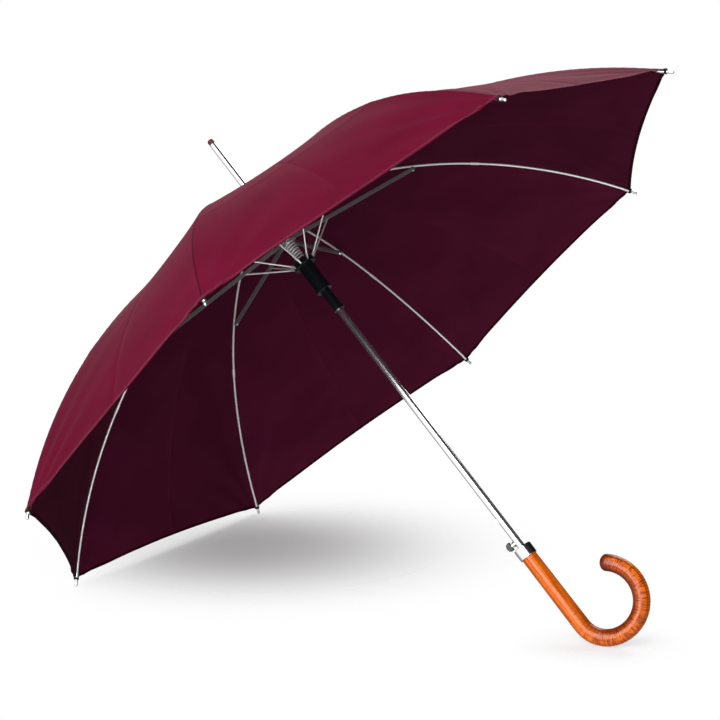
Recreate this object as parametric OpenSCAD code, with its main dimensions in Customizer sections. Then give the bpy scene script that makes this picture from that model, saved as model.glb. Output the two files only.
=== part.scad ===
// Stick umbrella, open. Shaft along +Z, canopy and ferrule up, hook of the
// handle towards +X, origin on the shaft axis in the middle of the straight grip.
// Millimetres.

/* [Canopy and ribs] */
span_r = 520;         // rib tip radius
tip_z = 415;          // height of the rib tips
ribs = 8;
notch_r = 11;         // rib pivot radius at the top notch
notch_z = 633;        // rib pivot height
bend = 24.4;          // half of the rib's bend, degrees
rod_r = 1.6;
joint_r = 240;        // where the stretcher joins the rib
joint_drop = 5;       // stretcher pivot below the rib's centre line
bump_r = 330;
fabric_t = 0.6;
fabric_gap = 2.6;     // underside of the fabric above the rib's centre line
scallop = 0.018;      // how far the hem curves in between two tips
hem_droop = 4;        // how far the hem sinks inwards between two tips

/* [Hub, runner and links] */
hub_r = 10.5;
hub_z = 580;
crown_r = 14;
crown_z = 540;
link_at = 64;         // link pivot along the stretcher
housing_r = 10.5;
housing_z = 493;
sleeve_r = 6.6;
sleeve_z = 460;

/* [Shaft, ferrule and handle] */
shaft_r = 5;
shaft_bore = 4.2;
ferrule_r = 4.5;
ferrule_top = 760;
collar_top = 65;
grip_r = 10.4;
crook_r = 10.9;
grip_end = -58.3;     // where the straight grip turns into the crook
bend1_r = 40;
bend1_a = 70;
bend2_r = 47;
bend2_a = 158;

/* [Fit] */
slide_gap = 0.3;
pin_gap = 0.06;
seat = 0.05;

$fn = 48;

// ---- the rib's arc, in its own plane: [radius, height] ----
N = [notch_r, notch_z];
T = [span_r, tip_z];
chord = norm(T - N);
tilt = atan2(N[1] - T[1], T[0] - N[0]);
arc_r = chord / 2 / sin(bend);
arc_c = (N + T) / 2 - arc_r * cos(bend) * [sin(tilt), cos(tilt)];
a_in = atan2(N[1] - arc_c[1], N[0] - arc_c[0]);
a_out = atan2(T[1] - arc_c[1], T[0] - arc_c[0]);
function on_arc(a, h = 0) = arc_c + (arc_r + h) * [cos(a), sin(a)];
function at_s(s, h = 0) = on_arc(a_in + (a_out - a_in) * s, h);
a_joint = acos((joint_r - arc_c[0]) / arc_r);
a_bump = acos((bump_r - arc_c[0]) / arc_r);
J = on_arc(a_joint, -joint_drop);
B = [hub_r, hub_z];
A = [crown_r, crown_z];
str_len = norm(J - B);
str_a = atan2(J[1] - B[1], J[0] - B[0]);
M = B + link_at * [cos(str_a), sin(str_a)];
link_len = norm(M - A);
link_a = atan2(M[1] - A[1], M[0] - A[0]);

// ---- where the runner stands when the ribs are folded ----
fold = 65;
function turn(v, a) = [v[0] * cos(a) - v[1] * sin(a), v[0] * sin(a) + v[1] * cos(a)];
J2 = N + turn(J - N, -fold);
B2 = [hub_r, J2[1] - sqrt(pow(str_len, 2) - pow(J2[0] - hub_r, 2))];
M2 = B2 + link_at / str_len * (J2 - B2);
A2 = [crown_r, M2[1] - sqrt(pow(link_len, 2) - pow(M2[0] - crown_r, 2))];
travel = A[1] - A2[1];
window_z = sleeve_z + 11.5;   // the catch's window in the sleeve
catch_z = window_z - travel;

// puts a sketch-plane solid into rib plane k
module in_plane(k) { rotate([0, 0, 360 / ribs * k]) rotate([90, 0, 0]) children(); }
// a plate of thickness t, centred on the rib plane
module plate(t) { linear_extrude(t, center = true) children(); }

// ---- ribs ----
module rib(k) {
    tongue = 8 / arc_r * 180 / PI;
    color("silver") in_plane(k) difference() {
        union() {
            translate([arc_c[0], arc_c[1], 0]) rotate([0, 0, a_out])
                rotate_extrude(angle = a_in - a_out - tongue, $fn = 24) translate([arc_r, 0]) circle(r = rod_r);
            // flattened inner end, a half eye that sits over the notch wire
            translate([N[0], N[1], 0]) cylinder(r = 1.9, h = 1.8, center = true, $fn = 24);
            plate(1.8) polygon([N + [0, 1.8], N + [0, 0], N + [4, -0.4], on_arc(a_in - 0.8 * tongue, -1.5), on_arc(a_in - 1.25 * tongue, -1.5), on_arc(a_in - 1.25 * tongue, 1.5)]);
            // lug for the stretcher
            translate([J[0], J[1], 0]) cylinder(r = 2.5, h = 1.8, center = true, $fn = 24);
            plate(1.8) polygon([on_arc(a_joint + 0.3, 0), on_arc(a_joint - 0.3, 0),
                on_arc(a_joint - 0.17, -joint_drop), on_arc(a_joint + 0.17, -joint_drop)]);
            // crimped sleeve where the outer rib starts
            translate([on_arc(a_bump)[0], on_arc(a_bump)[1], 0]) rotate([0, 0, a_bump - 90]) rotate([0, 90, 0])
                cylinder(r = 2.1, h = 13, center = true, $fn = 24);
        }
        translate([J[0], J[1], 0]) cylinder(r = 1 + pin_gap, h = 9, center = true, $fn = 24);
        translate([N[0], N[1], 0]) cylinder(r = 1, h = 9, center = true, $fn = 24);
        plate(9) polygon([N, N + 4 * [cos(-165), sin(-165)], N + 5 * [cos(-120), sin(-120)], N + 5 * [cos(-60), sin(-60)], N + 3.4 * [cos(-22), sin(-22)]]);
    }
}

module tip(k) {
    color("gainsboro") in_plane(k) translate([T[0], T[1], 0]) rotate([0, 0, a_out - 90]) rotate([0, 90, 0]) difference() {
        rotate_extrude($fn = 32) polygon([[0, -10], [2.2, -10], [2.4, -9.6], [2.4, 1.6], [2.0, 2.2], [1.6, 2.6], [1.9, 3.4],
            [1.9, 8.2], [1.5, 9.2], [0.8, 9.8], [0, 10]]);
        translate([0, 0, -11]) cylinder(r = 1.8, h = 11.3, $fn = 24);
    }
}

// ---- canopy: one panel sewn to each rib, cut at the middle of the gore ----
rows = 16;
cols = 5;
function rib3(s, k, h) = let (p = at_s(s, h), q = 360 / ribs * k) [p[0] * cos(q), p[0] * sin(q), p[1]];
function lift(s) = fabric_gap + (s > 0.985 ? 0.6 : 0);
function skin(k, s, v, h) = let (
    w = abs(v) / 2, bow = 4 * w * (1 - w),
    u = s * (1 - scallop * bow * pow(max(s, 0), 3)),
    p = (1 - w) * rib3(u, k, h) + w * rib3(u, k + sign(v), h),
    sag = 4 * bow * sin(180 * max(s, 0)),
    droop = hem_droop * bow * pow(max(s, 0), 4),
    a = a_in + (a_out - a_in) * u, q = 360 / ribs * (k + sign(v) * w))
    p - [0, 0, sag] - droop * [cos(a) * cos(q), cos(a) * sin(q), sin(a)];
s_in = -4.8 / (arc_r * (a_in - a_out) * PI / 180);
function row_s(i) = i == 0 ? s_in : (i - 1) / (rows - 1);
function edge_v(s) = 1 - 0.2 / (sin(180 / ribs) * at_s(s)[0]);
module canopy(k) {
    n = 2 * cols + 1;
    pts = [for (side = [0, 1]) for (i = [0:rows]) for (j = [-cols:cols])
        skin(k, row_s(i), j / cols * edge_v(row_s(i)), lift(row_s(i)) + side * fabric_t)];
    m = n * (rows + 1);
    faces = [
        for (i = [0:rows - 1]) for (j = [0:n - 2]) each [
            [i * n + j, (i + 1) * n + j, (i + 1) * n + j + 1], [i * n + j, (i + 1) * n + j + 1, i * n + j + 1],
            [m + i * n + j, m + (i + 1) * n + j + 1, m + (i + 1) * n + j], [m + i * n + j, m + i * n + j + 1, m + (i + 1) * n + j + 1]],
        for (i = [0:rows - 1]) each [
            [i * n, m + i * n, m + (i + 1) * n], [i * n, m + (i + 1) * n, (i + 1) * n],
            [i * n + n - 1, m + (i + 1) * n + n - 1, m + i * n + n - 1], [i * n + n - 1, (i + 1) * n + n - 1, m + (i + 1) * n + n - 1]],
        for (j = [0:n - 2]) each [
            [j, j + 1, m + j + 1], [j, m + j + 1, m + j],
            [rows * n + j, m + rows * n + j + 1, rows * n + j + 1], [rows * n + j, m + rows * n + j, m + rows * n + j + 1]]];
    color([0.42, 0.03, 0.13]) polyhedron(points = pts, faces = faces, convexity = 4);
}

// ---- stretchers: a U channel, open side down, from the hub to the rib ----
module channel(x0, x1, web1) {
    for (t = [-1, 1]) translate([0, 0, t * 1.8]) plate(0.6) polygon([[x0, -1.6], [x1, -1.6], [x1, 2.4], [x0, 2.4]]);
    plate(4.2) polygon([[x0, 2.0], [web1, 2.0], [web1, 2.7], [x0, 2.7]]);
}
module stretcher(k) {
    color("dimgray") in_plane(k) translate([B[0], B[1], 0]) rotate([0, 0, str_a]) difference() {
        union() {
            channel(10, str_len, str_len - 6);
            cylinder(r = 1.9, h = 1.8, center = true, $fn = 24);
            plate(1.8) polygon([[0, -1.6], [16, -1.6], [16, 2.2], [10, 2.2], [8, 1.6], [0, 1.6]]);
            // rounded ears and the rivet at the rib
            for (t = [-1, 1]) translate([str_len, 0, t * 1.8]) cylinder(r = 2.4, h = 0.6, center = true, $fn = 24);
            translate([str_len, 0, 0]) cylinder(r = 1, h = 5, center = true, $fn = 24);
            for (t = [-1, 1]) translate([str_len, 0, t * 2.3]) cylinder(r = 1.7, h = 0.5, center = true, $fn = 24);
            // rivet of the link
            translate([link_at, 0, 0]) cylinder(r = 0.7, h = 5, center = true, $fn = 24);
            for (t = [-1, 1]) translate([link_at, 0, t * 2.3]) cylinder(r = 1.4, h = 0.5, center = true, $fn = 24);
        }
        cylinder(r = 0.8 + pin_gap, h = 9, center = true, $fn = 24);
    }
}

// ---- links: bright wire from the runner's crown to the stretcher ----
module link(k) {
    color("gainsboro") in_plane(k) translate([A[0], A[1], 0]) rotate([0, 0, link_a]) difference() {
        union() {
            translate([7, 0, 0]) rotate([0, 90, 0]) cylinder(r = 1.1, h = link_len - 9, $fn = 24);
            cylinder(r = 1.9, h = 1.8, center = true, $fn = 24);
            plate(1.8) polygon([[0, -1.6], [8, -1.0], [8, 1.0], [0, 1.6]]);
            translate([link_len, 0, 0]) cylinder(r = 1.6, h = 1.8, center = true, $fn = 24);
            plate(1.8) polygon([[link_len, -1.0], [link_len - 4, -0.9], [link_len - 4, 0.9], [link_len, 1.0]]);
        }
        translate([link_len, 0, 0]) cylinder(r = 0.7 + pin_gap, h = 9, center = true, $fn = 24);
        cylinder(r = 0.95, h = 9, center = true, $fn = 24);
        plate(9) polygon([[0, -0.7], [0, 0.95], [-4, 4.2], [-4, -0.7]]);
    }
}

// eight radial slots, each crossed by a straight length of retaining wire
module slotted(r0, z, low, high) {
    difference() {
        children();
        for (k = [0:ribs - 1]) rotate([0, 0, 360 / ribs * k]) translate([r0, -1.3, low - 1]) cube([30, 2.6, high - low + 2]);
    }
}
module wires(r, z, w, len) {
    for (k = [0:ribs - 1]) rotate([0, 0, 360 / ribs * k]) translate([r, 0, z]) rotate([90, 0, 0])
        cylinder(r = w, h = len, center = true, $fn = 24);
}

// a closed solid through a row of equal rings of points
module loft(rings) {
    n = len(rings[0]); m = len(rings);
    polyhedron(points = [for (r = rings) each r], convexity = 8, faces = [
        for (i = [0:m - 2]) for (j = [0:n - 1]) each [
            [i * n + j, i * n + (j + 1) % n, (i + 1) * n + (j + 1) % n], [i * n + j, (i + 1) * n + (j + 1) % n, (i + 1) * n + j]],
        [for (j = [n - 1:-1:0]) j], [for (j = [0:n - 1]) (m - 1) * n + j]]);
}

// ---- fixed top ----
module top_notch() {
    color("silver") {
        difference() {
            slotted(8.3, notch_z, 629.5, 635) rotate_extrude() polygon([[shaft_r + seat, 622], [7.4, 622], [7.8, 622.6], [7.8, 629.5],
                [13.6, 629.5], [14, 630], [14, 634.6], [13.6, 635], [shaft_r + seat, 635]]);
        }
        wires(notch_r, notch_z, 0.8, 5);
    }
}
module apex_disc() {
    color([0.42, 0.03, 0.13]) rotate_extrude() polygon([[shaft_r + 0.1, 636.85], [13, 636.85], [13, 637.45], [shaft_r + 0.1, 637.45]]);
}
module rosette() {
    color("silver") rotate_extrude() polygon([[shaft_r + seat, 637.5], [10.4, 637.5], [10.8, 638], [10.6, 639.2], [8.4, 641.4],
        [6.9, 644.4], [6.4, 648], [6, 648.4], [shaft_r + seat, 648.4]]);
}
module ferrule() {
    color("silver") difference() {
        union() {
            translate([0, 0, 612]) cylinder(r = shaft_bore - seat, h = 30);
            translate([0, 0, 641.05]) cylinder(r = 4.9, h = 8.95);
            translate([0, 0, 650]) cylinder(r = ferrule_r, h = 102);
        }
        translate([0, 0, 600]) cylinder(r = 2.4, h = 40);
    }
}
module ferrule_cap() {
    color([0.45, 0.02, 0.1]) rotate_extrude() polygon([[0, 752], [ferrule_r - 0.05, 752], [ferrule_r - 0.05, ferrule_top - 2.4],
        [ferrule_r - 0.5, ferrule_top - 1.1], [ferrule_r - 1.5, ferrule_top - 0.3], [ferrule_r - 2.6, ferrule_top], [0, ferrule_top]]);
}

// ---- shaft with the windows of the button and the catch ----
module shaft() {
    color("lightgray") difference() {
        translate([0, 0, 12]) cylinder(r = shaft_r, h = 629);
        translate([0, 0, 0]) cylinder(r = shaft_bore, h = 700);
        translate([-5, 0, 74]) rotate([0, 90, 0]) cylinder(r = 2.3, h = 8, center = true, $fn = 32);
        translate([-8, -1.9, catch_z - 4]) cube([8, 3.8, 8]);
    }
}

// ---- sliding hub, spring and runner ----
module spring_hub() {
    color("dimgray") {
        slotted(7.9, hub_z, 576, 584) rotate_extrude() polygon([[shaft_r + slide_gap, 576], [12, 576], [12.4, 576.5], [12.4, 583.5], [12, 584],
            [8, 584], [7.8, 585], [7.4, 592], [shaft_r + slide_gap, 592]]);
        wires(hub_r, hub_z, 0.8, 5);
    }
}
module spring() {
    coil_r = 6.4; wire_r = 0.8; low = 500.9; high = 574.8; pitch = 4.1; steps = 14;
    turns = (high - low) / pitch;
    lead = atan2(pitch, 2 * PI * coil_r);
    color("silver") loft([for (i = [0:round(turns * steps)]) let (q = 360 * i / steps, z = low + pitch * i / steps)
        [for (j = [0:6]) let (u = 360 / 7 * j, x = coil_r + wire_r * cos(u), y = -sin(lead) * wire_r * sin(u))
            [x * cos(q) - y * sin(q), x * sin(q) + y * cos(q), z + cos(lead) * wire_r * sin(u)]]]);
}
module runner_crown() {
    color([0.05, 0.05, 0.055]) {
        slotted(11.4, crown_z, 536, 544) rotate_extrude() polygon([[7.9, 536], [15.4, 536], [15.8, 536.5], [15.8, 543.5], [15.4, 544], [7.9, 544]]);
        wires(crown_r, crown_z, 0.8, 5);
    }
}
module spring_housing() {
    color([0.05, 0.05, 0.055]) rotate_extrude() polygon([[shaft_r + slide_gap, housing_z], [11, housing_z], [11.3, housing_z + 0.4],
        [11.3, housing_z + 2], [housing_r, housing_z + 3], [housing_r, 536], [7.9, 536], [7.9, housing_z + 6], [shaft_r + slide_gap, housing_z + 6]]);
}
module runner_sleeve() {
    color([0.05, 0.05, 0.055]) difference() {
        rotate_extrude() polygon([[shaft_r + slide_gap, sleeve_z], [7.4, sleeve_z], [7.7, sleeve_z + 0.4], [7.7, sleeve_z + 2],
            [sleeve_r, sleeve_z + 3], [sleeve_r, housing_z], [shaft_r + slide_gap, housing_z]]);
        translate([-12, -2.3, window_z - 4.75]) cube([12, 4.6, 9.5]);
    }
}

// ---- button with its leaf and catch ----
module button_guide() {
    color("gainsboro") difference() {
        translate([-7.4, 0, 74]) rotate([0, 90, 0]) cylinder(r = 3.6, h = 4, $fn = 32);
        translate([0, 0, 60]) cylinder(r = shaft_r + seat, h = 30);
        translate([-10, 0, 74]) rotate([0, 90, 0]) cylinder(r = 2.3, h = 9, $fn = 32);
    }
}
module button_leaf() {
    color("gainsboro") {
        translate([-10, 0, 74]) rotate([0, 90, 0]) cylinder(r = 2, h = 7, $fn = 32);
        translate([-3.4, -1.7, 66]) cube([1.2, 3.4, catch_z - 61]);
        rotate([90, 0, 0]) linear_extrude(3, center = true) polygon([[-3, catch_z - 3], [-5.4, catch_z - 3], [-7.2, catch_z + 3], [-3, catch_z + 3]]);
    }
}
module button_tab() {
    color([0.05, 0.05, 0.055]) rotate([90, 0, 0]) intersection() {
        linear_extrude(8.4, center = true) polygon([[-10, 69], [-14, 68.6], [-15.6, 69.6], [-16.4, 72.5], [-16.2, 76], [-14.8, 78.6],
            [-12.6, 79.6], [-10, 79.8]]);
        rotate([0, 90, 0]) translate([0, 74.2, -20]) cylinder(r = 6.4, h = 20, $fn = 40);
    }
}

// ---- collar and handle ----
module collar() {
    color("silver") rotate_extrude() polygon([[shaft_r + seat, collar_top], [11.8, collar_top], [12.3, collar_top - 0.5], [12.3, 50.4],
        [12, 50], [10.5, 50], [10.5, 53], [shaft_r + seat, 53]]);
}
// centre line of the handle from the collar down and round: [x, z, direction, radius]
c1 = [bend1_r, grip_end];
c2 = c1 + (bend2_r - bend1_r) * [cos(bend1_a), sin(bend1_a)];
bends = bend1_a + bend2_a;
tail = c2 - bend2_r * [cos(bends), sin(bends)];
grip_path = concat(
    [for (i = [0:7]) [0, 52.95 + (grip_end - 52.95) * i / 8, 0, grip_r + (crook_r - grip_r) * i / 8]],
    [for (i = [0:9]) let (q = bend1_a * i / 10) [c1[0] - bend1_r * cos(q), c1[1] - bend1_r * sin(q), q, crook_r]],
    [for (i = [0:26]) let (q = bend1_a + bend2_a * i / 26) [c2[0] - bend2_r * cos(q), c2[1] - bend2_r * sin(q), q, crook_r]],
    [for (i = [1:5]) let (q = 90 / 5.4 * i) [tail[0] + sin(bends) * 8.5 * sin(q), tail[1] - cos(bends) * 8.5 * sin(q), bends, crook_r * cos(q)]]);
module handle() {
    color([0.72, 0.33, 0.08]) difference() {
        loft([for (g = grip_path) [for (j = [0:31]) let (u = 360 / 32 * j)
            [g[0] + g[3] * cos(u) * cos(g[2]), g[3] * sin(u), g[1] + g[3] * cos(u) * sin(g[2])]]]);
        translate([0, 0, 11]) cylinder(r = shaft_r + seat, h = 60);
    }
}

shaft();
top_notch();
apex_disc();
rosette();
ferrule();
ferrule_cap();
collar();
handle();
button_guide();
spring_hub();
spring();
runner_crown();
spring_housing();
runner_sleeve();
button_leaf();
button_tab();
rib(0);  // rib_1
rib(1);  // rib_2
rib(2);  // rib_3
rib(3);  // rib_4
rib(4);  // rib_5
rib(5);  // rib_6
rib(6);  // rib_7
rib(7);  // rib_8
tip(0);  // tip_1
tip(1);  // tip_2
tip(2);  // tip_3
tip(3);  // tip_4
tip(4);  // tip_5
tip(5);  // tip_6
tip(6);  // tip_7
tip(7);  // tip_8
canopy(0);  // canopy_1
canopy(1);  // canopy_2
canopy(2);  // canopy_3
canopy(3);  // canopy_4
canopy(4);  // canopy_5
canopy(5);  // canopy_6
canopy(6);  // canopy_7
canopy(7);  // canopy_8
stretcher(0);  // stretcher_1
stretcher(1);  // stretcher_2
stretcher(2);  // stretcher_3
stretcher(3);  // stretcher_4
stretcher(4);  // stretcher_5
stretcher(5);  // stretcher_6
stretcher(6);  // stretcher_7
stretcher(7);  // stretcher_8
link(0);  // link_1
link(1);  // link_2
link(2);  // link_3
link(3);  // link_4
link(4);  // link_5
link(5);  // link_6
link(6);  // link_7
link(7);  // link_8
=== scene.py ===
import bpy
import math
import numpy as np
from mathutils import Euler, Matrix, Vector


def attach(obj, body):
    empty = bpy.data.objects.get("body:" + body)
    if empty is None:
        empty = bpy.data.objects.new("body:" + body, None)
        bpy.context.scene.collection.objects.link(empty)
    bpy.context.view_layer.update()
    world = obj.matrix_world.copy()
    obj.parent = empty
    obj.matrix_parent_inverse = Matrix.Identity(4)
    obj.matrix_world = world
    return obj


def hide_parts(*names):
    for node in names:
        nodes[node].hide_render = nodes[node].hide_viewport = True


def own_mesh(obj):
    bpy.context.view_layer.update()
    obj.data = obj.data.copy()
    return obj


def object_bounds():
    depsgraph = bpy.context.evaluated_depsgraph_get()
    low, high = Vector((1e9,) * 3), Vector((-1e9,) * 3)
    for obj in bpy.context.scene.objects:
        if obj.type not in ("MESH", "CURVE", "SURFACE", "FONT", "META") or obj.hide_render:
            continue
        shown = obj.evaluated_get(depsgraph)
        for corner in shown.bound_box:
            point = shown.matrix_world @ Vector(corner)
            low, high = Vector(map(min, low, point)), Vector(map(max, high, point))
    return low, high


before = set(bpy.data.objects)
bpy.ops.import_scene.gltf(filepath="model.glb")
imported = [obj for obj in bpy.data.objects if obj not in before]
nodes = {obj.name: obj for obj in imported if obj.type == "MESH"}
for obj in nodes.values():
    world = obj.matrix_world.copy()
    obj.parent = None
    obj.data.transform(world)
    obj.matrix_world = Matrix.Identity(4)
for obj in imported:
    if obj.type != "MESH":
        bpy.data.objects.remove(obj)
cad_lo, cad_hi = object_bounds()
cad_lo, cad_hi = list(cad_lo), list(cad_hi)
scene = bpy.context.scene
mm = 0.001

# ---------------- the ribs of the CAD model, mm
RIBS = 8
NOTCH = np.array([11.0, 633.0])  # where a rib starts, as radius and height
TIP = np.array([520.0, 415.0])   # where it ends
BEND = math.radians(24.4)        # half of its bend
SLEEVE_R = 330.0                 # radius at which its crimped sleeve lies
chord = np.linalg.norm(TIP - NOTCH)
tilt = math.atan2(NOTCH[1] - TIP[1], TIP[0] - NOTCH[0])
ARC = chord / 2 / math.sin(BEND)
CEN = (NOTCH + TIP) / 2 - ARC * math.cos(BEND) * np.array([math.sin(tilt), math.cos(tilt)])
A_IN = math.atan2(NOTCH[1] - CEN[1], NOTCH[0] - CEN[0])
A_OUT = math.atan2(TIP[1] - CEN[1], TIP[0] - CEN[0])
ARC_LEN = ARC * (A_IN - A_OUT)
S_SLEEVE = (A_IN - math.acos((SLEEVE_R - CEN[0]) / ARC)) / (A_IN - A_OUT)  # as a share of the rib


def rib_turn(k):
    """The angle of rib k around the shaft."""
    return 2 * np.pi / RIBS * k


def across_rib(k):
    """The direction across rib k, level and square to its plane."""
    return np.array([-math.sin(rib_turn(k)), math.cos(rib_turn(k)), 0.0])


def rib_point(s, k, h):
    """Points on rib k at share s of its length, h above its centre line. s, k and h are arrays."""
    a = A_IN + (A_OUT - A_IN) * s
    r, z = CEN[0] + (ARC + h) * np.cos(a), CEN[1] + (ARC + h) * np.sin(a)
    return np.stack([r * np.cos(rib_turn(k)), r * np.sin(rib_turn(k)), z], axis=-1)


# ---------------- node helpers
def material(name, **sockets):
    """A new material, its node tree and its shader, with the shader's own sockets set."""
    m = bpy.data.materials.new(name)
    m.use_nodes = True
    shader = m.node_tree.nodes["Principled BSDF"]
    for key, value in sockets.items():
        shader.inputs[key.replace("_", " ")].default_value = value
    return m, m.node_tree, shader


def feed(tree, socket, value):
    """Links value to the socket if it is another node's output, and sets it otherwise."""
    if isinstance(value, bpy.types.NodeSocket):
        tree.links.new(value, socket)
    else:
        socket.default_value = value


def add(tree, kind, **values):
    """A new node. Keys that start with in_ are its inputs, the others its settings."""
    node = tree.nodes.new(kind)
    for key, value in values.items():
        if key.startswith("in_"):
            feed(tree, node.inputs[key[3:].replace("_", " ")], value)
        else:
            setattr(node, key, value)
    return node


def calc(tree, operation, *values, kind="ShaderNodeMath"):
    """The result of a math node on the values."""
    node = add(tree, kind, operation=operation)
    for socket, value in zip(node.inputs, values):
        feed(tree, socket, value)
    return node.outputs["Value"]


def remap(tree, value, low, high, start=0.0, stop=1.0, shape="LINEAR"):
    """low where value is start, and high where it is stop."""
    node = add(tree, "ShaderNodeMapRange", interpolation_type=shape, in_Value=value,
               in_From_Min=start, in_From_Max=stop, in_To_Min=low, in_To_Max=high)
    return node.outputs["Result"]


def noise(tree, vector, scale, detail, rough=0.5):
    node = add(tree, "ShaderNodeTexNoise", in_Vector=vector, in_Scale=scale, in_Detail=detail,
               in_Roughness=rough)
    return node.outputs["Fac"]


def ramp(tree, value, stops):
    """The colour at value on a ramp of (position, colour) stops."""
    node = add(tree, "ShaderNodeValToRGB", in_Fac=value)
    elements = node.color_ramp.elements
    while len(elements) < len(stops):
        elements.new(0.5)
    for element, (position, color) in zip(elements, stops):
        element.position, element.color = position, (*color, 1)
    return node.outputs["Color"]


def stain_or_shade(tree, amount, color, over_color):
    """color with amount of over_color laid over it: a stain, or painted shade."""
    node = add(tree, "ShaderNodeMix", data_type="RGBA", in_Factor=amount, in_A=color, in_B=(*over_color, 1))
    return node.outputs["Result"]


def finish(tree, shader, color, rough):
    feed(tree, shader.inputs["Base Color"], color)
    feed(tree, shader.inputs["Roughness"], rough)


def bump(tree, shader, height, strength, distance):
    node = add(tree, "ShaderNodeBump", in_Height=height, in_Strength=strength, in_Distance=distance)
    tree.links.new(node.outputs["Normal"], shader.inputs["Normal"])


# ---------------- materials
def metal(name, color, rough, brush=0.0, metallic=1.0):
    """Bright metal with faint smudges, and fine lines if brush is over 0."""
    m, t, shader = material(name, Metallic=metallic)
    at = add(t, "ShaderNodeTexCoord").outputs["Object"]
    smudge = noise(t, at, 60.0, 4.0)
    dull = [x * 0.92 for x in color]
    finish(t, shader, ramp(t, smudge, [(0.3, dull), (0.7, color)]), remap(t, smudge, rough, rough + 0.04))
    if brush:
        bump(t, shader, noise(t, at, 900.0, 2.0), brush, 0.0002)
    return m


def plastic(name, color, rough):
    """Moulded plastic with a fine grain."""
    m, t, shader = material(name, Specular_IOR_Level=0.3)
    grain = noise(t, add(t, "ShaderNodeTexCoord").outputs["Object"], 240.0, 3.0)
    dark, light = [x * 0.8 for x in color], [x * 1.15 for x in color]
    finish(t, shader, ramp(t, grain, [(0.35, dark), (0.7, light)]),
           remap(t, grain, rough - 0.04, rough + 0.06))
    bump(t, shader, grain, 0.06, 0.0003)
    return m


def fabric(name, dark, light, rough, sheen, tint, seam=False):
    """Plain-woven polyester: faint weave, slightly uneven dye, soft sheen. UV is in metres on the cloth."""
    m, t, shader = material(name, Specular_IOR_Level=0.025, Sheen_Weight=sheen, Sheen_Roughness=0.3,
                            Sheen_Tint=(*tint, 1))
    uv = add(t, "ShaderNodeUVMap", uv_map="cloth").outputs["UV"]
    dye = noise(t, uv, 9.0, 5.0)
    color = ramp(t, dye, [(0.3, dark), (0.72, light)])
    if seam:
        # painted shade: a dark line in the sewn groove over the rib, where the cloth's own x is zero
        off = calc(t, "ABSOLUTE", add(t, "ShaderNodeSeparateXYZ", in_Vector=uv).outputs["X"])
        line = remap(t, off, 0.75, 0.0, 0.0005, 0.0016, "SMOOTHSTEP")
        color = stain_or_shade(t, line, color, [x * 0.3 for x in dark])
    finish(t, shader, color, remap(t, dye, rough - 0.03, rough + 0.05))
    threads = [add(t, "ShaderNodeTexWave", bands_direction=direction, in_Vector=uv, in_Scale=420.0,
                   in_Distortion=0.6, in_Detail=1.0).outputs["Fac"] for direction in ("X", "Y")]
    bump(t, shader, calc(t, "MULTIPLY", *threads), 0.12, 0.0002)
    return m


def lacquered_wood(tail):
    """Lacquered wood. The mesh gives along, the distance from the collar, which is tail at the hook's
    end, and inside, which is 1 on the hook's inner side and -1 on its outer side."""
    m, t, shader = material("lacquered_wood", Coat_Weight=0.5, Coat_Roughness=0.12, Specular_IOR_Level=0.0)
    along = add(t, "ShaderNodeAttribute", attribute_name="along").outputs["Fac"]
    inside = add(t, "ShaderNodeAttribute", attribute_name="inside").outputs["Fac"]
    at = add(t, "ShaderNodeTexCoord").outputs["Object"]
    y = add(t, "ShaderNodeSeparateXYZ", in_Vector=at).outputs["Y"]
    # the grain runs along the stick
    where = add(t, "ShaderNodeCombineXYZ", in_X=calc(t, "MULTIPLY", along, 6.0),
                in_Y=calc(t, "MULTIPLY", y, 90.0), in_Z=calc(t, "MULTIPLY", inside, 1.6))
    grain = noise(t, where.outputs["Vector"], 2.2, 6.0, 0.65)
    color = ramp(t, grain, [(0.3, (0.22, 0.026, 0.002)), (0.44, (0.55, 0.098, 0.005)),
                            (0.6, (0.76, 0.162, 0.010)), (0.78, (0.88, 0.265, 0.03))])
    # scorched cross streaks where the wood is bent
    bent = remap(t, along, 0.16, 0.85, 0.08, 0.15)
    where = add(t, "ShaderNodeCombineXYZ", in_X=calc(t, "MULTIPLY", along, 640.0),
                in_Y=calc(t, "MULTIPLY", inside, 1.1))
    streak = ramp(t, noise(t, where.outputs["Vector"], 1.0, 3.0, 0.6), [(0.46, (0, 0, 0)), (0.6, (1, 1, 1))])
    color = stain_or_shade(t, calc(t, "MULTIPLY", streak, bent), color, (0.16, 0.014, 0.002))
    # painted shade on the inner side of the bend, and a blotchy stain all over, both in one dark colour
    bend_shade = calc(t, "MULTIPLY", remap(t, inside, 0.0, 0.95, -0.2, 0.75, "SMOOTHSTEP"), bent)
    blotch = remap(t, noise(t, at, 70.0, 3.0), 0.0, 0.45, 0.48, 0.75)
    color = stain_or_shade(t, calc(t, "MAXIMUM", bend_shade, blotch), color, (0.10, 0.008, 0.002))
    # a darker end
    color = stain_or_shade(t, remap(t, along, 0.0, 0.85, tail - 0.012, tail + 0.004), color, (0.09, 0.006, 0.003))
    finish(t, shader, color, remap(t, grain, 0.28, 0.42))
    return m


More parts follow.
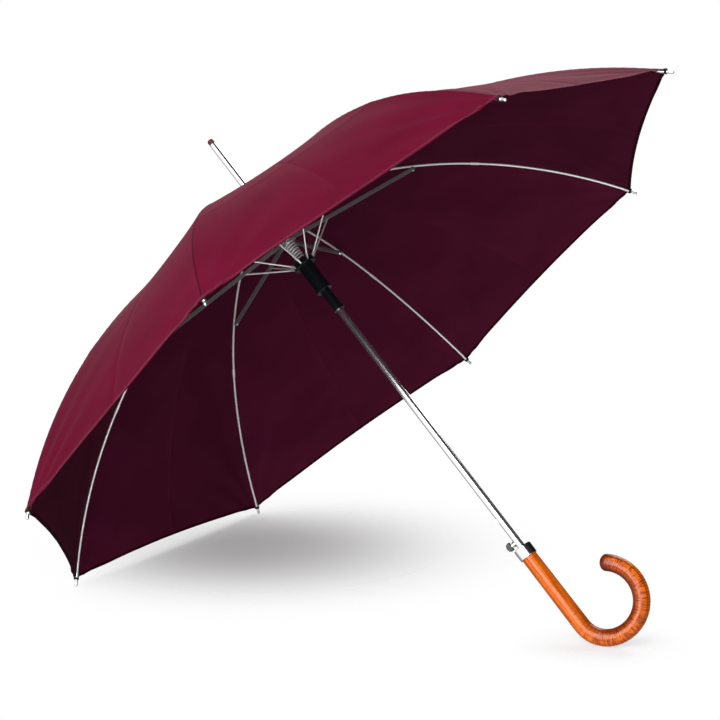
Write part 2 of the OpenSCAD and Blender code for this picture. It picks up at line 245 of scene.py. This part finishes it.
chrome = metal("chrome", (0.86, 0.86, 0.87), 0.08)
shaft_chrome = metal("shaft_chrome", (0.84, 0.84, 0.85), 0.15, metallic=0.95)
spring_steel = metal("spring_wire", (0.95, 0.95, 0.94), 0.28, metallic=0.2)
wire_steel = metal("drawn_wire", (0.95, 0.95, 0.94), 0.3, metallic=0.55)
cast_steel = metal("pressed_steel", (0.66, 0.66, 0.67), 0.28, brush=0.05)
dark_steel = metal("dark_channel", (0.36, 0.36, 0.37), 0.3, metallic=0.6)
black = plastic("black_plastic", (0.005, 0.008, 0.010), 0.3)
cap_red = plastic("ferrule_cap", (0.075, 0.003, 0.010), 0.28)
outer = fabric("canopy_outside", (0.076, 0.0022, 0.0132), (0.101, 0.0034, 0.0186), 0.75,
               sheen=0.09, tint=(1.0, 0.5, 0.62), seam=True)
# the inside is the same cloth as the outside with a colour of its own: less red, as painted shade, and with
# more green and blue, as a painted sheen of the front light
inner = fabric("canopy_inside", (0.056, 0.0050, 0.0180), (0.080, 0.0080, 0.0262), 0.75,
               sheen=0.01, tint=(0.9, 0.3, 0.45))
hem = fabric("canopy_hem", (0.018, 0.0008, 0.004), (0.028, 0.0014, 0.006), 0.6,
             sheen=0.01, tint=(0.9, 0.3, 0.45))


# ---------------- mesh helpers
def mesh_object(name, verts, faces, mats, face_mats=None, uvs=None):
    """A smooth mesh from corners in mm. uvs has one pair for each corner."""
    me = bpy.data.meshes.new(name)
    me.from_pydata([tuple(v) for v in np.asarray(verts) * mm], [], [tuple(f) for f in faces])
    for m in mats:
        me.materials.append(m)
    if face_mats is not None:
        me.polygons.foreach_set("material_index", np.asarray(face_mats, np.int32))
    me.polygons.foreach_set("use_smooth", np.full(len(faces), True))
    if uvs is not None:
        layer = me.uv_layers.new(name="cloth")
        loops = np.empty(len(me.loops), np.int32)
        me.loops.foreach_get("vertex_index", loops)
        layer.data.foreach_set("uv", np.asarray(uvs, np.float32)[loops].ravel())
    me.update()
    o = bpy.data.objects.new(name, me)
    scene.collection.objects.link(o)
    return o


def round_angles(count):
    """count angles, evenly spaced round a circle."""
    return np.linspace(0, 2 * np.pi, count, endpoint=False)


def tube_faces(rings, sides, closed=False, first=0):
    """The quads between rings of corners, and on from the last ring to the first if closed."""
    return [(first + i * sides + j, first + i * sides + (j + 1) % sides,
             first + (i + 1) % rings * sides + (j + 1) % sides, first + (i + 1) % rings * sides + j)
            for i in range(rings if closed else rings - 1) for j in range(sides)]


def tube(name, centre, across_u, across_v, radius, mats, sides):
    """A closed tube through rings about centre, each in the plane of its two directions, mm."""
    c, u, v = (np.asarray(x, float) for x in (centre, across_u, across_v))
    r = np.broadcast_to(np.asarray(radius, float), len(c))[:, None, None]
    q = round_angles(sides)[None, :, None]
    ring = c[:, None] + r * (np.cos(q) * u[:, None] + np.sin(q) * v[:, None])
    last = (len(c) - 1) * sides
    ends = [tuple(range(sides - 1, -1, -1)), tuple(last + j for j in range(sides))]
    return mesh_object(name, ring.reshape(-1, 3), tube_faces(len(c), sides) + ends, mats)


# ---------------- canopy: one continuous skin, sewn to the ribs
SCALLOP = 0.018  # how far the hem comes in between two tips, as a share of the rib
SAG = 4.0        # how far the middle of a gore sinks below the line between its ribs, mm
DROOP = 4.0      # how far the hem sinks inwards between two tips, mm
RIDGE, WRINKLE, PUCKER = 1.9, 1.3, 0.28  # heights of the tension folds, the waves and the hem's puckers, mm


def lift(s):
    """How far the cloth lies above the rib's centre line, mm: more over the crimped sleeve and at the tip."""
    return 2.0 + 0.9 * np.clip((s - 0.965) / 0.03, 0, 1) + 0.5 * np.exp(-((s - S_SLEEVE) / 0.02) ** 2)


def hash_wave(g, w, s, n, f0, f1, seed):
    """n smooth waves in gore g, w across and s along, with f0 to f1 of each in the gore: always the same."""
    rng = np.random.default_rng(seed + 17 * int(g))
    out = np.zeros_like(w)
    for _ in range(n):
        fx, fy, ph, am = rng.uniform(f0, f1), rng.uniform(f0, f1), rng.uniform(0, 6.28), rng.uniform(0.4, 1)
        out += am * np.sin(2 * np.pi * (fx * w * rng.choice([-1, 1]) + fy * s) + ph)
    return out / n


def skin(g, w, s):
    """Points and outward normals of the cloth in gore g, between ribs g and g + 1: w from 0 to 1 across,
    s along the ribs."""
    bow = 4 * w * (1 - w)
    u = s * (1 - SCALLOP * bow * np.maximum(s, 0) ** 3)
    h = lift(u)
    a, b = rib_point(u, np.full_like(u, g), h), rib_point(u, np.full_like(u, g + 1), h)
    p = a * (1 - w)[..., None] + b * w[..., None]
    sp = np.clip(s, 0, 1)
    p[..., 2] -= SAG * bow * np.sin(np.pi * sp)
    # tension folds that fan out from the tips, long waves, and fine puckers at the hem; fan is the angle at
    # which a point is seen from the tip
    fold = np.zeros_like(w)
    near_rim = np.clip((sp - 0.45) / 0.55, 0, 1)
    for side, phase in ((w, 0.7), (1 - w, 2.1)):
        fan = np.arctan2(side * 0.78 * sp + 1e-4, 1.03 - sp)
        fold += RIDGE * np.sin(13 * fan + 1.3 * g + phase) * near_rim * np.exp(-4.5 * side)
    fold += WRINKLE * hash_wave(g, w, s, 4, 0.4, 1.6, 3) * bow ** 0.5 * np.sin(np.pi * sp) ** 0.5
    fold += PUCKER * hash_wave(g, w, s, 5, 3.0, 7.0, 91) * bow ** 0.5 * near_rim
    fold *= np.clip(bow * 3, 0, 1) * np.clip(sp * 4, 0, 1)
    mid = rib_turn(g + w)
    slope = A_IN + (A_OUT - A_IN) * np.clip(u, 0, 1)
    n = np.stack([np.cos(slope) * np.cos(mid), np.cos(slope) * np.sin(mid), np.sin(slope)], axis=-1)
    return p + n * (fold - DROOP * bow * sp ** 4)[..., None], n


ACROSS, ALONG = 22, 130
S_IN, HEM = -0.6 / ARC_LEN, 4.5 / ARC_LEN  # where the cloth starts, and the hem's width, as shares of the rib
s_rows = np.concatenate([[S_IN], np.linspace(0, 1 - HEM, ALONG), [1 - HEM + 0.0004, 1 - 0.0012, 1.0]])
THICK = 0.4           # of the cloth, mm
HEM_OVER = 0.35       # what the folded hem adds above, mm
HEM_UNDER = 0.3       # and below
HEM_EDGE = 0.1        # what its rounded edge adds
SEAM = (1.1, 2.6)     # the sewn seam over the rib: half widths of its groove and of its lips, mm
SEAM_DEPTH = 0.3      # the depth of the groove and the height of the lips, mm
STITCH = (0.12, 260)  # the stitches on the lips: height in mm, and radians of their wave along the rib
BAND = 15.0           # half width of the cloth that stays flat over its rib, mm
CREASE = (1.6, 0.45)  # the crease in the middle of a gore: half width and depth, mm
SCALLOP_SHARE = 0.985  # what the scalloped hem leaves of a piece's area


def gore_width(s):
    return 2 * math.sin(math.pi / RIBS) * (CEN[0] + ARC * np.cos(A_IN + (A_OUT - A_IN) * s))


def cloth_at(k, V, S):
    """Points and normals at V, from -1 to 1 between the middles of the gores beside rib k, and S along it."""
    W = np.abs(V) / 2
    right, left = skin(k, W, S), skin((k - 1) % RIBS, 1 - W, S)
    use = (V >= 0)[..., None]
    return np.where(use, right[0], left[0]), np.where(use, right[1], left[1])


def band_edge(k, side):
    """For each row, the V at which the cloth is BAND away from the rib's plane, or 1 where it isn't."""
    v = np.linspace(0, 1, 400)[None, :]
    V, S = np.broadcast_arrays(v, s_rows[:, None])
    away = side * (cloth_at(k, side * np.maximum(V, 1e-6), S)[0] @ across_rib(k))
    return np.array([np.interp(BAND, row, v[0]) if row[-1] > BAND else 1.0 for row in away])


def shell_faces(rows, cols):
    """Faces of a closed shell over a grid of corners, its top before its underside, and the material of each:
    0 outside, 1 inside, 2 hem. The last 2 * (rows - 1) faces are its cut sides."""
    m = rows * cols
    faces, mats = [], []
    for i in range(rows - 1):
        under = 2 if i >= rows - 3 else 1
        for j in range(cols - 1):
            a, b, c, d = i * cols + j, (i + 1) * cols + j, (i + 1) * cols + j + 1, i * cols + j + 1
            faces += [(a, b, c, d), (m + d, m + c, m + b, m + a)]
            mats += [0, under]
    for j in range(cols - 1):
        a, d = (rows - 1) * cols + j, (rows - 1) * cols + j + 1
        faces += [(a, m + a, m + d, d), (j, j + 1, m + j + 1, m + j)]
        mats += [2, 0]
    for i in range(rows - 1):
        for j, flip in ((0, False), (cols - 1, True)):
            f = (i * cols + j, m + i * cols + j, m + (i + 1) * cols + j, (i + 1) * cols + j)
            faces.append(f[::-1] if flip else f)
            mats.append(1)
    return faces, mats


def sharpen_sides(me, rows, cols):
    """The cut sides meet the next piece edge to edge, so they don't round the cloth's shading."""
    for f in me.polygons[-2 * (rows - 1):]:
        f.use_smooth = False
    ends = np.empty(2 * len(me.edges), np.int32)
    me.edges.foreach_get("vertices", ends)
    column = (ends % (rows * cols)) % cols
    cut = ((column == 0) | (column == cols - 1)).reshape(-1, 2).all(axis=1)
    me.attributes.new("sharp_edge", "BOOLEAN", "EDGE").data.foreach_set("value", cut)


def flat_size(V, half, s_used):
    """Width, length and area of the cloth cut for a piece, in metres."""
    width = (V[:, -1] - V[:, 0]) * half * mm
    step = np.diff(s_used) * ARC_LEN * mm
    area = ((width[1:] + width[:-1]) / 2 * step).sum() * SCALLOP_SHARE
    return float(width.max()), float(step.sum()), float(area)


def cloth_piece(name, k, V, first=0, seam=None, crease=None):
    """A closed shell of cloth over the columns V, from row first to the hem, and its flat size. seam is the
    column of the stitched line, and crease the column of the crease that folding leaves."""
    s_used = s_rows[first:]
    rows, cols = V.shape
    S = np.repeat(s_used[:, None], cols, axis=1)
    half = gore_width(s_used) / 2
    p, n = cloth_at(k, V, S)
    if crease is not None:
        p[:, crease] -= n[:, crease] * (CREASE[1] * np.clip(s_used * 5, 0, 1))[:, None]
    row = np.arange(rows)[:, None]
    folded, last = (row == rows - 2) | (row == rows - 3), row == rows - 1
    above = np.where(folded, THICK + HEM_OVER, np.where(last, THICK + HEM_EDGE, THICK)) + 0 * V
    below = np.where(folded, HEM_UNDER, 0.0)
    if seam is not None:
        sewn = np.clip(s_used * 12, 0, 1)
        above[:, seam] -= SEAM_DEPTH * sewn
        for side in (-1, 1):
            above[:, seam + side] += (SEAM_DEPTH + STITCH[0] * np.sin(s_used * STITCH[1] + side)) * sewn
    top, low = p + n * above[..., None], p - n * below[..., None]
    verts = np.concatenate([top.reshape(-1, 3), low.reshape(-1, 3)])
    faces, mats = shell_faces(rows, cols)
    uv = np.stack([V * half[:, None], S * ARC_LEN], axis=-1).reshape(-1, 2) * mm
    o = mesh_object(name, verts, faces, [outer, inner, hem], mats, np.concatenate([uv, uv]))
    sharpen_sides(o.data, rows, cols)
    return o, flat_size(V, half, s_used)


def canopy_panel(k):
    """The cloth nearest rib k, from the middle of one gore to the middle of the next: a band that stays flat
    over the rib and a wing on each side. A list of (side, (piece, flat size))."""
    half = gore_width(s_rows) / 2
    edges = {side: band_edge(k, side) for side in (1, -1)}
    columns = {}
    for side, edge in edges.items():
        groove, lip = np.minimum(SEAM[0] / half, 0.2 * edge), np.minimum(SEAM[1] / half, 0.4 * edge)
        columns[side] = np.stack([groove] + [lip + (edge - lip) * x for x in np.linspace(0, 1, 6)], axis=1)
    V = np.concatenate([-columns[-1][:, ::-1], 0 * half[:, None], columns[1]], axis=1)
    made = [(0, cloth_piece(f"canopy_panel_{k + 1}", k, V, seam=V.shape[1] // 2))]
    for side, word in ((1, "right"), (-1, "left")):
        first = int(np.argmax(edges[side] < 1)) - 1
        start = np.minimum(edges[side], 0.999)[first:, None]
        V = start + (1 - start) * np.linspace(0, 1, ACROSS)[None, :]
        V[:, -2] = np.maximum(V[:, -2], 1 - CREASE[0] / half[first:])
        crease = -1
        if side < 0:
            V, crease = -V[:, ::-1], 0
        made.append((side, cloth_piece(f"canopy_wing_{word}_{k + 1}", k, V, first, crease=crease)))
    return made


for k in range(RIBS):
    for side, (o, flat) in canopy_panel(k):
        if not side:
            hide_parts(f"canopy_{k + 1}")
        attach(o, f"rib_{k + 1}")
        if side:
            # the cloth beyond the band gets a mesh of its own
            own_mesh(o)


# ---------------- the thread that ties the cloth to each tip
thread_dark = plastic("thread", (0.012, 0.002, 0.004), 0.6)
THREAD_R = 0.55
THREAD_LOOP = (2.95, 3.35)  # half width and half height of a loop round the tip, mm


def tip_thread(k):
    """Three loops of thread side by side round tip k."""
    q = rib_turn(k)
    out_dir = np.array([math.sin(A_OUT) * math.cos(q), math.sin(A_OUT) * math.sin(q), -math.cos(A_OUT)])
    side_dir = across_rib(k)
    up_dir = np.cross(out_dir, side_dir)
    a, b = round_angles(24)[:, None], round_angles(8)[None, :, None]
    verts, faces = [], []
    for shift in (-2.4, -1.2, 0.0):
        mid = rib_point(1.0, k, 0.0) + out_dir * shift + up_dir * math.copysign(0.5, up_dir[2])
        spoke = np.cos(a) * side_dir * THREAD_LOOP[0] + np.sin(a) * up_dir * THREAD_LOOP[1]
        spoke_dir = (spoke / np.linalg.norm(spoke, axis=1)[:, None])[:, None]
        ring = (mid + spoke)[:, None] + THREAD_R * (np.cos(b) * spoke_dir + np.sin(b) * out_dir)
        faces += tube_faces(a.size, b.size, closed=True, first=len(verts) * a.size * b.size)
        verts.append(ring.reshape(-1, 3))
    return mesh_object(f"tip_thread_{k + 1}", np.concatenate(verts), faces, [thread_dark])


for k in range(RIBS):
    o = tip_thread(k)
    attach(o, f"rib_{k + 1}")

# ---------------- spring: turns, ends and radii as in the CAD, mm
TURNS, LOW, HIGH, COIL_R, WIRE_R = 18, 500.9, 574.8, 6.4, 0.8
q = np.linspace(0, 2 * np.pi * TURNS, TURNS * 40 + 1)
lead = math.atan2((HIGH - LOW) / TURNS, 2 * np.pi * COIL_R)
radial = np.stack([np.cos(q), np.sin(q), 0 * q], axis=-1)
up = np.stack([np.sin(q) * math.sin(lead), -np.cos(q) * math.sin(lead), np.full_like(q, math.cos(lead))],
              axis=-1)
coil = radial * COIL_R
coil[:, 2] = LOW + (HIGH - LOW) * q / q[-1]
spring = tube("spring_coil", coil, radial, up, WIRE_R, [spring_steel], sides=12)
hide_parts("spring")
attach(spring, "runner")
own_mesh(spring)

# ---------------- handle, mm
GRIP_TOP, GRIP_END = 52.95, -58.3  # the straight part
GRIP_R, CROOK_R = 10.4, 10.9       # of the wood at the collar and in the hook
BEND_1 = (40.0, math.radians(70))  # radius and angle of the hook's two arcs
BEND_2 = (47.0, math.radians(158))
END_LENGTH, END_RINGS = 8.6, 12    # the rounded end
SIDES = 64


def crook_rings():
    """Rings down the stick, as x and z of the centre, angle of the stick's axis, and radius."""
    c1 = np.array([BEND_1[0], GRIP_END])
    c2 = c1 + (BEND_2[0] - BEND_1[0]) * np.array([math.cos(BEND_1[1]), math.sin(BEND_1[1])])
    end = BEND_1[1] + BEND_2[1]
    rings = [(0, z, 0.0, GRIP_R + (CROOK_R - GRIP_R) * (GRIP_TOP - z) / (GRIP_TOP - GRIP_END))
             for z in np.linspace(GRIP_TOP, GRIP_END, 40)[:-1]]
    for c, r, angles in ((c1, BEND_1[0], np.linspace(0, BEND_1[1], 28)[:-1]),
                         (c2, BEND_2[0], np.linspace(BEND_1[1], end, 70))):
        rings += [(c[0] - r * math.cos(a), c[1] - r * math.sin(a), a, CROOK_R) for a in angles]
    x, z = rings[-1][:2]
    for a in np.linspace(0, math.pi / 2, END_RINGS)[1:-1]:
        on = END_LENGTH * math.sin(a)
        rings.append((x + math.sin(end) * on, z - math.cos(end) * on, end, CROOK_R * math.cos(a)))
    return np.array(rings)


rings = crook_rings()
centre = np.stack([rings[:, 0], 0 * rings[:, 0], rings[:, 1]], axis=-1)
to_inside = np.stack([np.cos(rings[:, 2]), 0 * rings[:, 2], np.sin(rings[:, 2])], axis=-1)
sideways = np.tile([0.0, 1.0, 0.0], (len(rings), 1))
handle = tube("crook_handle", centre, to_inside, sideways, rings[:, 3], [], sides=SIDES)
along = np.concatenate([[0], np.cumsum(np.linalg.norm(np.diff(centre, axis=0), axis=1))]) * mm
inside = np.cos(round_angles(SIDES))
for name, value in (("along", np.repeat(along, SIDES)), ("inside", np.tile(inside, len(rings)))):
    values = handle.data.attributes.new(name, "FLOAT", "POINT")
    values.data.foreach_set("value", value.astype(np.float32))
handle.data.materials.append(lacquered_wood(float(along[1 - END_RINGS])))
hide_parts("handle")
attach(handle, "shaft")

# ---------------- the CAD nodes that are shown as they are
finish_of = {"shaft": shaft_chrome, "ferrule": chrome, "collar": chrome, "top_notch": cast_steel,
             "rosette": chrome, "button_guide": cast_steel, "button_leaf": wire_steel,
             "runner_crown": black, "spring_housing": black, "runner_sleeve": black, "button_tab": black,
             "spring_hub": dark_steel, "ferrule_cap": cap_red, "apex_disc": outer}
for k in range(1, RIBS + 1):
    finish_of.update({f"rib_{k}": wire_steel, f"tip_{k}": cast_steel, f"stretcher_{k}": dark_steel,
                      f"link_{k}": wire_steel})
for name, mat in finish_of.items():
    me = nodes[name].data
    normals = np.empty(3 * len(me.loops), np.float32)
    me.corner_normals.foreach_get("vector", normals)
    me.polygons.foreach_set("use_smooth", np.ones(len(me.polygons), bool))
    me.normals_split_custom_set(normals.reshape(-1, 3))
    me.materials.clear()
    me.materials.append(mat)

# ---------------- camera
CAM_AT = (0.5478, -2.5513, -0.2826)      # metres
CAM_TURN = (107.9442, 36.0483, 23.3235)  # degrees about x, y and z
LENS = 103.02
cam = bpy.data.objects.new("camera", bpy.data.cameras.new("camera"))
scene.collection.objects.link(cam)
scene.camera = cam
cam.data.lens, cam.data.sensor_width = LENS, 36
cam.data.clip_start, cam.data.clip_end = 0.05, 60
rot = Euler([math.radians(a) for a in CAM_TURN]).to_matrix()
cam.matrix_world = Matrix.Translation(CAM_AT) @ rot.to_4x4()
cam_right, cam_up, cam_back = (rot @ Vector(axis) for axis in ((1, 0, 0), (0, 1, 0), (0, 0, 1)))


# ---------------- floor: where the umbrella lies, on two tips and the crook
def tip_end(k):
    return Vector(tuple(rib_point(1.017, k, -2.4) * mm))


def crook_touch(up):
    """The crook's lowest point when up is upwards."""
    p = centre * mm - np.array(up)[None] * (rings[:, 3] * mm)[:, None]
    return Vector(tuple(p[np.argmin(p @ np.array(up))]))


tip_a, tip_b = tip_end(3), tip_end(4)
floor_up = cam_up.copy()
for _ in range(20):
    crook = crook_touch(floor_up)
    floor_up = (tip_b - tip_a).cross(crook - tip_a).normalized()
    if floor_up.dot(cam_up) < 0:
        floor_up = -floor_up
floor_x = (cam_right - floor_up * cam_right.dot(floor_up)).normalized()
floor_at = Matrix((floor_x, floor_up.cross(floor_x), floor_up)).transposed().to_4x4()
floor_at.translation = (tip_a + tip_b + crook) / 3
FLOOR = 3.2  # half of its side, metres
# painted shadow: the floor shows only in two patches, placed and shaped as the shadows under the canopy's hem
# and under the crook; for each, its middle, radii along the floor's own axes, and clearness in its middle
SHADOW_PATCHES = [((tip_a + tip_b) / 2 + floor_x * 0.13, (0.46, 0.34), 0.2), (crook, (0.14, 0.09), 0.55)]


def floor_finish():
    """A pale floor that fades into the white surroundings away from the object, and is clear from below;
    where it shows, its patches are placed and shaped as the shadows, a painted shadow.
    """
    m, t, shader = material("floor", Roughness=0.9, Base_Color=(0.82, 0.82, 0.82, 1), Specular_IOR_Level=0.1)
    here = add(t, "ShaderNodeTexCoord").outputs["Object"]
    clearness = []
    for at, radii, least in SHADOW_PATCHES:
        at = floor_at.inverted() @ at
        patch = add(t, "ShaderNodeMapping", vector_type="POINT", in_Vector=here,
                   in_Scale=(1 / radii[0], 1 / radii[1], 0),
                   in_Location=(-at.x / radii[0], -at.y / radii[1], 0)).outputs["Vector"]
        away = calc(t, "LENGTH", patch, kind="ShaderNodeVectorMath")
        clearness.append(remap(t, away, least, 1.0, shape="SMOOTHERSTEP"))
    clear = add(t, "ShaderNodeBsdfTransparent").outputs["BSDF"]
    below = add(t, "ShaderNodeNewGeometry").outputs["Backfacing"]
    surface = shader.outputs["BSDF"]
    for share in (calc(t, "MULTIPLY", *clearness), below):
        blend = add(t, "ShaderNodeMixShader", in_Fac=share)
        feed(t, blend.inputs[1], surface)
        feed(t, blend.inputs[2], clear)
        surface = blend.outputs["Shader"]
    feed(t, t.nodes["Material Output"].inputs["Surface"], surface)
    return m


corners = [(-FLOOR, -FLOOR, 0), (FLOOR, -FLOOR, 0), (FLOOR, FLOOR, 0), (-FLOOR, FLOOR, 0)]
floor_mesh = bpy.data.meshes.new("floor")
floor_mesh.from_pydata(corners, [], [(0, 1, 2, 3)])
floor_mesh.materials.append(floor_finish())
floor = bpy.data.objects.new("floor", floor_mesh)
scene.collection.objects.link(floor)
floor.matrix_world = floor_at

# ---------------- light
scene.view_settings.view_transform = "Standard"
scene.view_settings.look = "None"
DARK_SIDE = (0.97, 0.12, 0.13)  # the direction of the hook, in which the surround is dark


def surround(world):
    """A white surround that shows as white. As a light it is dark on the hook's side and greyer behind,
    which gives the round chrome its stripes and its grey outline."""
    world.use_nodes = True
    t = world.node_tree
    t.nodes.clear()
    at = add(t, "ShaderNodeTexCoord").outputs["Generated"]
    side = calc(t, "DOT_PRODUCT", at, DARK_SIDE, kind="ShaderNodeVectorMath")
    level = remap(t, side, 0.6, 0.015, 0.25, 0.6, "SMOOTHSTEP")
    behind = add(t, "ShaderNodeSeparateXYZ", in_Vector=at).outputs["Y"]
    level = calc(t, "MULTIPLY", level, remap(t, behind, 1.0, 0.22, -0.5, 0.4, "SMOOTHSTEP"))
    # reflections see it brighter than the cloth is lit by it, so the chrome is white on the light side
    path = add(t, "ShaderNodeLightPath")
    level = calc(t, "MULTIPLY", level, calc(t, "MULTIPLY_ADD", path.outputs["Is Glossy Ray"], 1.1, 1.0))
    white = (1, 1, 1, 1)
    light = add(t, "ShaderNodeBackground", in_Color=white, in_Strength=level)
    seen = add(t, "ShaderNodeBackground", in_Color=white)
    pick = add(t, "ShaderNodeMixShader", in_Fac=path.outputs["Is Camera Ray"])
    feed(t, pick.inputs[1], light.outputs["Background"])
    feed(t, pick.inputs[2], seen.outputs["Background"])
    add(t, "ShaderNodeOutputWorld", in_Surface=pick.outputs["Shader"])


def softbox(name, direction, distance, size, power, target=(0, 0, 0.45)):
    """A rectangular lamp at distance from target, facing it."""
    lamp = bpy.data.lights.new(name, "AREA")
    lamp.shape, lamp.size, lamp.size_y, lamp.energy = "RECTANGLE", size[0], size[1], power
    o = bpy.data.objects.new(name, lamp)
    scene.collection.objects.link(o)
    d = direction.normalized()
    o.location = Vector(target) + d * distance
    o.rotation_mode = "QUATERNION"
    o.rotation_quaternion = d.to_track_quat("Z", "Y")
    return o


scene.world = bpy.data.worlds.new("studio")
surround(scene.world)
softbox("key", floor_up - cam_right * 0.35 + cam_back * 0.25, 2.6, (2.0, 1.6), 30)
softbox("rim", cam_up * 0.8 - cam_back * 0.6 + cam_right * 0.5, 2.6, (2.0, 1.6), 46)
softbox("side", Vector((0.75, -0.6, -0.5)), 2.8, (1.2, 1.2), 10, (0, 0, 0.4)).visible_glossy = False
softbox("fill", Vector((0.0, -1.0, 0.16)), 2.1, (1.8, 1.8), 60, (0.04, 0, 0.2))
